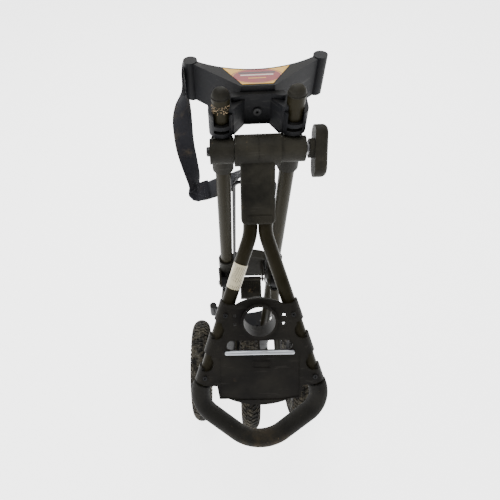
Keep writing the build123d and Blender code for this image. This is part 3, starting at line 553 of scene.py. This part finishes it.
def carcassMesh(name, centre):
    outline = []
    steps = 26
    for step in range(steps + 1):
        turn = radians(-138) + radians(276) * step / steps
        ripple = tyre["ribHeight"] if step in (3, 6, steps - 6, steps - 3) else 0
        reach = tyre["sectionRadius"] + ripple
        outline.append((sin(turn) * reach, tyre["ringRadius"] + cos(turn) * reach))
    outline += [
        (tyre["beadHalf"] + 0.0015, tyre["beadRadius"] + 0.004),
        (tyre["beadHalf"], tyre["beadRadius"]),
        (-tyre["beadHalf"], tyre["beadRadius"]),
        (-tyre["beadHalf"] - 0.0015, tyre["beadRadius"] + 0.004),
    ]

    def build(work):
        rings = []
        for turn in range(tyre["turns"]):
            angle = tau * turn / tyre["turns"]
            rings.append([centre + Vector((x, r * sin(angle), r * cos(angle))) for x, r in outline])
        ringStrip(work, rings, closedAlong=True)

    return meshOf(name, build)


# slanted lugs laid out flat, then rolled round the tyre's section and round the wheel
def treadMesh(name, centre, material):
    tree = Recipe(
        name,
        Count=tyre["lugCount"],
        LugLength=tyre["lugLength"],
        LugWidth=tyre["lugWidth"],
        LugHeight=tyre["lugHeight"],
        Slant=tyre["slant"],
        SectionRadius=tyre["sectionRadius"],
        RingRadius=tyre["ringRadius"],
        Centre=centre,
    )
    length, width, height = tree.given("LugLength"), tree.given("LugWidth"), tree.given("LugHeight")
    section, ring = tree.given("SectionRadius"), tree.given("RingRadius")
    pitch = (section + ring) * tau / tree.given("Count")
    block = {"Size": tree.vector(length, width, height * 2), "Vertices X": 4, "Vertices Y": 2}
    lug = tree.node("GeometryNodeMeshCube", {}, block)
    rows = []
    for side in (-1, 1):
        for spot, reach in enumerate(tyre["lugRows"]):
            offset = pitch * (0.25 * side + 0.5 * (spot % 2))
            line = tree.node(
                "GeometryNodeMeshLine",
                {},
                {
                    "Count": tree.given("Count"),
                    "Start Location": tree.vector(reach * side, offset, 0.0),
                    "Offset": tree.vector(0.0, pitch, 0.0),
                },
            )
            rows.append(tree.node("GeometryNodeInstanceOnPoints", {}, {"Points": line, "Instance": lug}))
    joined = tree.tree.nodes.new("GeometryNodeJoinGeometry")
    for row in rows:
        tree.tree.links.new(row.socket, joined.inputs[0])
    flat = tree.node("GeometryNodeRealizeInstances", {}, {0: Wire(tree, joined.outputs[0])})
    here = tree.node("GeometryNodeInputPosition", {}, {})
    x, y, z = (tree.node("ShaderNodeSeparateXYZ", {}, {0: here}, which) for which in range(3))
    bend = x / section
    roll = (y + x.math("ABSOLUTE") * tree.given("Slant")) / (section + ring)
    reach = section + z * (1.0 - (z > 0.0) * bend.math("ABSOLUTE") * 0.12)
    far = ring + bend.math("COSINE") * reach
    rolled = tree.vector(bend.math("SINE") * reach, far * roll.math("SINE"), far * roll.math("COSINE"))
    placed = tree.node("ShaderNodeVectorMath", {"operation": "ADD"}, {0: rolled, 1: tree.given("Centre")})
    wrapped = tree.node("GeometryNodeSetPosition", {}, {"Geometry": flat, "Position": placed})
    return tree.grow(name, wrapped, material)


for wheel in ("front", "left", "right"):
    body = wheel + "_wheel"
    centre = Vector(joints[wheel + "_wheel_spin"]["pos_m"])
    rubber = finishes["tyre_rubber"]
    carcass = carcassMesh("carcass_" + wheel, centre)
    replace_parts(newPiece("tyre_carcass_" + wheel, carcass, groove, body), "tyre_" + wheel)
    tread = merged("tread_" + wheel, treadMesh("treadGrown_" + wheel, centre, rubber))
    newPiece("tyre_tread_" + wheel, tread, rubber, body)
print("tyres treaded")


strap = {
    "width": 0.038,
    "thickness": 0.0024,
    # down from the upper bracket's left tip: place from the tubes' plane, direction of the width
    "route": [
        ((-0.1219, 0.097, 1.030), (0.0, 1.0, 0)),
        ((-0.1235, 0.096, 0.998), (0.1, 1.0, 0)),
        ((-0.1290, 0.093, 0.966), (0.65, 0.75, 0)),
        ((-0.1330, 0.088, 0.925), (0.95, 0.3, 0)),
        ((-0.1330, 0.082, 0.878), (0.95, 0.3, 0)),
        ((-0.1270, 0.072, 0.838), (0.8, 0.6, 0)),
        ((-0.1215, 0.061, 0.809), (0.6, 0.8, 0)),
        ((-0.1205, 0.053, 0.791), (0.35, 0.85, 0.2)),
        ((-0.1150, 0.044, 0.7835), (0.1, 0.83, 0.5)),
        ((-0.1028, 0.0394, 0.7944), (0, 0.83, 0.56)),
        ((-0.0898, 0.0374, 0.8009), (0, 0.83, 0.56)),
    ],
}
pad = {
    "width": 0.042,
    "thickness": 0.010,
    "slack": 0.62,  # share of the thickness before it is blown up
    "sides": 28,
    "cap": 0.004,  # how far a point may move as it swells
    "pressure": 4,
    "stiffness": 25,
    "frames": 20,
    "route": [
        ((-0.1160, 0.0460, 0.7855), (0.1, 0.8, 0.55)),
        ((-0.1010, 0.0430, 0.7890), (0, 0.83, 0.56)),
        ((-0.0800, 0.0400, 0.7990), (0, 0.83, 0.56)),
        ((-0.0570, 0.0380, 0.8110), (0, 0.83, 0.56)),
        ((-0.0380, 0.0330, 0.8270), (0.2, 0.85, 0.4)),
        ((-0.0240, 0.0170, 0.8600), (0.75, 0.6, 0.1)),
        ((-0.0140, -0.0030, 0.8775), (0.9, 0.4, 0)),
    ],
}


fineSteps = 400  # along a route, for measuring its length


# evenly spaced places on a Catmull-Rom line: (place, travel, direction of the width, run)
def smoothRoute(route, count):
    points = [Vector(place) + Vector((0, tubeY, 0)) for place, _ in route]
    widths = [Vector(width).normalized() for _, width in route]

    def between(values, spot):
        last = len(values) - 2
        first = min(int(spot), last)
        share = spot - first
        a, b = values[max(first - 1, 0)], values[first]
        c, d = values[first + 1], values[min(first + 2, last + 1)]
        square = (2 * a - 5 * b + 4 * c - d) * share**2
        cube = (3 * b - a - 3 * c + d) * share**3
        return 0.5 * ((2 * b) + (c - a) * share + square + cube)

    end = len(points) - 1.0
    fine = [between(points, (len(points) - 1) * step / fineSteps) for step in range(fineSteps + 1)]
    run = [0.0]
    for before, after in zip(fine, fine[1:]):
        run.append(run[-1] + (after - before).length)
    places, spot = [], 0
    for step in range(count + 1):
        wanted = run[-1] * step / count
        while spot < fineSteps - 1 and run[spot + 1] < wanted:
            spot += 1
        share = (wanted - run[spot]) / max(run[spot + 1] - run[spot], 1e-9)
        where = (len(points) - 1) * (spot + min(max(share, 0), 1)) / fineSteps
        place = between(points, where)
        ahead, behind = between(points, min(where + 0.01, end)), between(points, max(where - 0.01, 0.0))
        travel = (ahead - behind).normalized()
        width = between(widths, where)
        width = (width - travel * width.dot(travel)).normalized()
        places.append((place, travel, width, wanted))
    return places


# a flat band with thinned edges along places, with a UV map in metres
def bandMesh(name, places, width, thickness, columns):
    section = []
    for column in range(columns + 1):
        share = -1 + 2 * column / columns
        section.append((share, 1.0 if abs(share) < 0.97 else 0.5))
    loop = section + [(share, -height) for share, height in reversed(section)]

    def build(work):
        rings = []
        for place, travel, across, _ in places:
            flat = travel.cross(across)
            ring = []
            for share, height in loop:
                ring.append(place + across * share * width / 2 + flat * (height * thickness / 2))
            rings.append(ring)
        rows = ringStrip(work, rings)
        work.faces.new(rows[0])
        work.faces.new(list(reversed(rows[-1])))

    mesh = meshOf(name, build)
    layer = mesh.uv_layers.new(name="along")
    spots = [(place, across, run) for place, _, across, run in places]
    for spot in mesh.loops:
        point = mesh.vertices[spot.vertex_index].co
        place, across, run = min(spots, key=lambda item: (item[0] - point).length_squared)
        layer.data[spot.index].uv = (run, (point - place).dot(across))
    return mesh


stitching = {
    "length": 0.0026,
    "gap": 0.0016,
    "thread": 0.0007,
    "proud": 0.0002,  # how far the thread's middle stands off the webbing
    "upperBox": (3, 11),  # first and last place of each sewn box
    "lowerBox": (78, 87),
}


# rows of stitches along straight lines: each a small bead that follows its line
def stitchMesh(name, lines, material):
    tree = Recipe(
        name,
        StitchLength=stitching["length"],
        StitchGap=stitching["gap"],
        ThreadThickness=stitching["thread"],
    )
    stitch = tree.node("GeometryNodeMeshIcoSphere", {}, {"Radius": 0.5, "Subdivisions": 2})
    thick = tree.given("ThreadThickness")
    shape = tree.vector(thick, thick, tree.given("StitchLength"))
    sized = tree.node("GeometryNodeTransform", {}, {"Geometry": stitch, "Scale": shape})
    joined = tree.tree.nodes.new("GeometryNodeJoinGeometry")
    for start, end in lines:
        line = tree.node("GeometryNodeCurvePrimitiveLine", {}, {"Start": tuple(start), "End": tuple(end)})
        spaced = tree.node(
            "GeometryNodeCurveToPoints",
            {"mode": "LENGTH"},
            {"Curve": line, "Length": tree.given("StitchLength") + tree.given("StitchGap")},
        )
        turned = Wire(tree, spaced.socket.node.outputs["Rotation"])
        sewn = {"Points": spaced, "Instance": sized, "Rotation": turned}
        row = tree.node("GeometryNodeInstanceOnPoints", {}, sewn)
        tree.tree.links.new(row.socket, joined.inputs[0])
    return tree.grow(name, Wire(tree, joined.outputs[0]), material)


# corner points of a box and its cross, sewn on a band between two of its places
def boxStitch(places, first, last, width, rise):
    def corner(spot, share):
        place, travel, across, _ = places[spot]
        return place + across * share * width / 2 + travel.cross(across) * rise

    a, b, c, d = corner(first, -0.74), corner(first, 0.74), corner(last, 0.74), corner(last, -0.74)
    return [(a, b), (b, c), (c, d), (d, a), (a, c), (b, d)]


strapPlaces = smoothRoute(strap["route"], 90)
strapBand = newPiece(
    "strap_webbing",
    bandMesh("strapWebbing", strapPlaces, strap["width"], strap["thickness"], 12),
    finishes["webbing"],
    "frame",
)
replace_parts(strapBand, "bag_strap")
padPlaces = smoothRoute(pad["route"], 44)


# the pad before it is blown up: a closed lens-shaped band, thinner where it will be sewn
def padMesh():
    def build(work):
        rings = []
        for spot, (place, travel, across, _) in enumerate(padPlaces):
            end = min(spot, len(padPlaces) - 1 - spot) / 4
            fill = min(1.0, 0.35 + 0.65 * end)
            flat = travel.cross(across)
            halfWidth = pad["width"] / 2 * 0.97
            halfThick = pad["thickness"] / 2 * pad["slack"] * fill
            ring = []
            for step in range(pad["sides"]):
                angle = tau * step / pad["sides"]
                side = (abs(cos(angle)) ** 0.75) * (1 if cos(angle) > 0 else -1)
                top = (abs(sin(angle)) ** 0.8) * (1 if sin(angle) > 0 else -1)
                ring.append(place + across * side * halfWidth + flat * top * halfThick)
            rings.append(ring)
        rows = ringStrip(work, rings)
        for ring in (rows[0], rows[-1]):
            middleVert = work.verts.new(sum((vert.co for vert in ring), Vector()) / len(ring))
            for spot in range(len(ring)):
                work.faces.new((ring[spot], ring[(spot + 1) % len(ring)], middleVert))

    return meshOf("padShell", build)


# cloth pressure for a few frames, with each point kept near its start
def blowUp(piece, cap):
    cloth = piece.modifiers.new("fill", "CLOTH")
    cloth.settings.use_pressure = True
    cloth.settings.uniform_pressure_force = pad["pressure"]
    cloth.settings.effector_weights.gravity = 0
    cloth.settings.quality = 6
    cloth.settings.tension_stiffness = pad["stiffness"]
    cloth.settings.compression_stiffness = pad["stiffness"]
    cloth.point_cache.frame_start = 1
    cloth.point_cache.frame_end = pad["frames"]
    start = [vertex.co.copy() for vertex in piece.data.vertices]
    for step in range(1, pad["frames"] + 1):
        bpy.context.scene.frame_set(step)
    blown = piece.evaluated_get(bpy.context.evaluated_depsgraph_get()).to_mesh()
    final = []
    for before, vertex in zip(start, blown.vertices):
        move = vertex.co - before
        final.append(before + move * min(1.0, cap / max(move.length, 1e-9)))
    piece.evaluated_get(bpy.context.evaluated_depsgraph_get()).to_mesh_clear()
    piece.modifiers.clear()
    for vertex, place in zip(piece.data.vertices, final):
        vertex.co = place
    bpy.context.scene.frame_set(1)


strapPad = newPiece("strap_padding", padMesh(), finishes["pad_fabric"], "frame")
blowUp(strapPad, pad["cap"])
smoother = strapPad.modifiers.new("smooth", "SUBSURF")
smoother.levels = smoother.render_levels = 1
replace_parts(strapPad, "strap_pad")
print("strap and pad made")

rise = strap["thickness"] / 2 + stitching["proud"]
stitchLines = boxStitch(strapPlaces, *stitching["upperBox"], strap["width"], rise)
stitchLines += boxStitch(strapPlaces, *stitching["lowerBox"], strap["width"], rise)
newPiece("strap_stitching", stitchMesh("strapStitches", stitchLines, thread), thread, "frame")


# a round bead along points, a closed ring or with closed ends
def beadMesh(name, points, radius, closed=False, sides=10):
    count = len(points)

    def build(work):
        rings = []
        side = None
        for spot, point in enumerate(points):
            before = points[(spot - 1) % count] if closed or spot else point
            after = points[(spot + 1) % count] if closed or spot < count - 1 else point
            travel = (after - before).normalized()
            side = travel.orthogonal() if side is None else side - travel * side.dot(travel)
            side.normalize()
            up = travel.cross(side)
            turns = [tau * step / sides for step in range(sides)]
            rings.append([point + (side * cos(turn) + up * sin(turn)) * radius for turn in turns])
        rows = ringStrip(work, rings, closedAlong=closed)
        if not closed:
            work.faces.new(rows[0])
            work.faces.new(list(reversed(rows[-1])))

    return meshOf(name, build)


mouldings = {
    "seamRadius": 0.0262,  # just proud of the hinge barrel
    "seamAcross": 0.001,
    "seamBead": 0.0005,
    "seamSteps": 60,
    "capBead": 0.0011,
    "capSteps": 48,
    "humpCentre": 0.33796,  # along the handle, the middle of the console's top arc
    "humpRadius": 0.0795,
    "humpSpread": 31,
    "plateTop": 0.0163,
    "rimBead": 0.0016,
    "rimProud": 0.0004,
}


def arcOnHandle(centre, radius, start, end, out, steps):
    turns = [radians(start + (end - start) * step / steps) for step in range(steps + 1)]
    return [onHandle(radius * sin(turn), centre - radius * cos(turn), out) for turn in turns]


seamPoints = []
for step in range(mouldings["seamSteps"] + 1):
    turn = radians(-42 - 276 * step / mouldings["seamSteps"])
    reach = mouldings["seamRadius"]
    start = hinge + Vector((mouldings["seamAcross"], 0, 0))
    seamPoints.append(start + handleDown * cos(turn) * reach + handleOut * sin(turn) * reach)
seam = beadMesh("barrelSeam", seamPoints, mouldings["seamBead"])
newPiece("barrel_seam", seam, finishes["hinge_plastic"], "handle")
for side in ("left", "right"):
    low, high = boxOf("tube_cap_" + side)
    centre, radius = (low + high) / 2, (high.x - low.x) / 2
    turns = [tau * step / mouldings["capSteps"] for step in range(mouldings["capSteps"])]
    foot = Vector((centre.x, centre.y, high.z - radius))
    ringPoints = [foot + Vector((radius * cos(turn), radius * sin(turn), 0)) for turn in turns]
    newPiece(
        "cap_bead_" + side,
        beadMesh("capBead_" + side, ringPoints, mouldings["capBead"], closed=True),
        finishes["hinge_plastic"],
        "frame",
    )
rimPoints = arcOnHandle(
    mouldings["humpCentre"],
    mouldings["humpRadius"],
    -mouldings["humpSpread"],
    mouldings["humpSpread"],
    mouldings["plateTop"] + mouldings["rimProud"],
    40,
)
newPiece(
    "console_rim",
    beadMesh("consoleRim", rimPoints, mouldings["rimBead"]),
    finishes["console_plastic"],
    "handle",
)


bandRibs = {
    "count": 15,
    "size": (0.0009, 0.009, 0.0012),
    "margin": 0.004,  # left plain at the band's two ends together
    "proud": 0.0011,
}


# fine ribs across the raised band at the end of the stem
def bandRibMesh():
    low, high = boxOf("stem_band")
    centre = (low + high) / 2
    tree = Recipe("bandRibs", RibCount=bandRibs["count"], RibSize=bandRibs["size"])
    rib = tree.node("GeometryNodeMeshCube", {}, {"Size": tree.given("RibSize")})
    spacing = (high.x - low.x - bandRibs["margin"]) / bandRibs["count"]
    line = tree.node(
        "GeometryNodeMeshLine",
        {},
        {
            "Count": tree.given("RibCount"),
            "Start Location": (-spacing * (bandRibs["count"] - 1) / 2, 0.0, 0.0),
            "Offset": (spacing, 0.0, 0.0),
        },
    )
    row = tree.node("GeometryNodeInstanceOnPoints", {}, {"Points": line, "Instance": rib})
    place, turn = tuple(centre + handleOut * bandRibs["proud"]), (pi / 2 - foldAngle, 0.0, 0.0)
    laid = tree.node("GeometryNodeTransform", {}, {"Geometry": row, "Translation": place, "Rotation": turn})
    return tree.grow("bandRibs", laid, finishes["hinge_plastic"])


ribs = merged("bandRibsMesh", bandRibMesh())
newPiece("band_ribs", ribs, finishes["hinge_plastic"], "handle")


crumbs = {
    "count": 90,
    "seed": 11,
    "tubeRadius": 0.0144,
    "size": 0.0006,
    "height": 1.019,
    "arc": (-2.9, -0.4),  # round the tube's front
    "rise": (-0.004, 0.010),
}


# dried mud crumbs on the front of a tube, each a small lump of its own size
def crumbMesh(name, centre):
    tree = Recipe(
        name,
        Crumbs=crumbs["count"],
        Seed=crumbs["seed"],
        TubeRadius=crumbs["tubeRadius"],
        CrumbSize=crumbs["size"],
        Centre=centre,
    )

    def chance(low, high, offset):
        return tree.node(
            "FunctionNodeRandomValue",
            {"data_type": "FLOAT"},
            {2: low, 3: high, "Seed": tree.given("Seed") + offset},
            1,
        )

    turn = chance(*crumbs["arc"], 1)
    reach = tree.given("TubeRadius") + chance(0.0, 0.0012, 2)
    spot = tree.vector(turn.math("COSINE") * reach, turn.math("SINE") * reach, chance(*crumbs["rise"], 3))
    placed = tree.node("ShaderNodeVectorMath", {"operation": "ADD"}, {0: spot, 1: tree.given("Centre")})
    points = tree.node("GeometryNodePoints", {}, {"Count": tree.given("Crumbs"), "Position": placed})
    crumb = tree.node("GeometryNodeMeshIcoSphere", {}, {"Radius": tree.given("CrumbSize"), "Subdivisions": 1})
    scale = tree.vector(chance(0.5, 1.6, 4), chance(0.5, 1.4, 5), chance(0.5, 1.8, 6))
    scattered = {"Points": points, "Instance": crumb, "Scale": scale}
    strewn = tree.node("GeometryNodeInstanceOnPoints", {}, scattered)
    return tree.grow(name, strewn, mud)


capLow, capHigh = boxOf("tube_cap_left")
socketMud = Vector(((capLow.x + capHigh.x) / 2, (capLow.y + capHigh.y) / 2, crumbs["height"]))
newPiece("socket_mud", merged("socketMud", crumbMesh("socketCrumbs", socketMud)), mud, "frame")
print("mouldings and mud made")


studio = {
    "floor": (0.93, 0.93, 0.92),
    "sky": (1.0, 1.0, 1.0),
    "skyStrength": 0.34,
    "floorGlow": 3.2,
    "lights": {  # place, size, power
        "overhead_light": ((0.1, 1.9, 2.5), 2.4, 62.0),
        "key_light": ((-0.35, 0.35, 2.7), 0.45, 15.0),
        "side_light": ((-1.7, -0.6, 2.2), 1.2, 14.0),
    },
    "lightAim": (0, 0.1, 0.9),
    "sideAim": (0, 0.1, 0.8),
}


def studioFloor():
    def build(work):
        bmesh.ops.create_grid(work, x_segments=1, y_segments=1, size=9.0)

    floor = bpy.data.objects.new("studio_floor", meshOf("studioFloor", build, smooth=False))
    bpy.context.scene.collection.objects.link(floor)
    pale = Finish("studio_floor")
    mottle = pale.noise(3.0, 2.0)
    floor.data.materials.append(
        pale.done(
            Base_Color=pale.mix(mottle * 0.2, studio["floor"], (0.90, 0.90, 0.89)),
            Roughness=0.9,
            Emission_Color=(1.0, 1.0, 1.0),
            Emission_Strength=studio["floorGlow"],
        )
    )
    floor.location.z = cadBox[0][2] - 0.0005


def softLight(name, place, aim, size, power):
    lamp = bpy.data.lights.new(name, "AREA")
    lamp.shape = "DISK"
    lamp.size = size
    lamp.energy = power
    light = bpy.data.objects.new(name, lamp)
    light.location = place
    light.rotation_euler = (Vector(aim) - Vector(place)).to_track_quat("-Z", "Y").to_euler()
    bpy.context.scene.collection.objects.link(light)


studioFloor()
world = bpy.data.worlds.new("studio_air")
world.use_nodes = True
world.node_tree.nodes["Background"].inputs[0].default_value = (*studio["sky"], 1.0)
world.node_tree.nodes["Background"].inputs[1].default_value = studio["skyStrength"]
bpy.context.scene.world = world
for name, (place, size, power) in studio["lights"].items():
    softLight(name, place, studio["sideAim"] if name == "side_light" else studio["lightAim"], size, power)

view = {
    "place": (-0.0518, tubeY - 0.5394, 1.3953),
    "azimuth": -3.31,
    "elevation": 55.70,
    "roll": 4.33,
    "lens": 28.28,
    "shiftX": 0.0672,
    "shiftY": 0.0140,
}


def placeCamera():
    azimuth, elevation, roll = radians(view["azimuth"]), radians(view["elevation"]), radians(view["roll"])
    ahead = Vector((sin(azimuth) * cos(elevation), cos(azimuth) * cos(elevation), -sin(elevation)))
    right = ahead.cross(Vector((0, 0, 1))).normalized()
    down = ahead.cross(right)
    rightTurned = right * cos(roll) + down * sin(roll)
    downTurned = down * cos(roll) - right * sin(roll)
    lens = bpy.data.cameras.new("studio_camera")
    lens.lens = view["lens"]
    lens.sensor_width = 36
    lens.shift_x = view["shiftX"]
    lens.shift_y = view["shiftY"]
    lens.clip_start = 0.01
    camera = bpy.data.objects.new("studio_camera", lens)
    turn = Matrix((rightTurned, -downTurned, -ahead)).transposed()
    camera.matrix_world = Matrix.Translation(view["place"]) @ turn.to_4x4()
    bpy.context.scene.collection.objects.link(camera)
    bpy.context.scene.camera = camera


placeCamera()
print("camera and lights set")
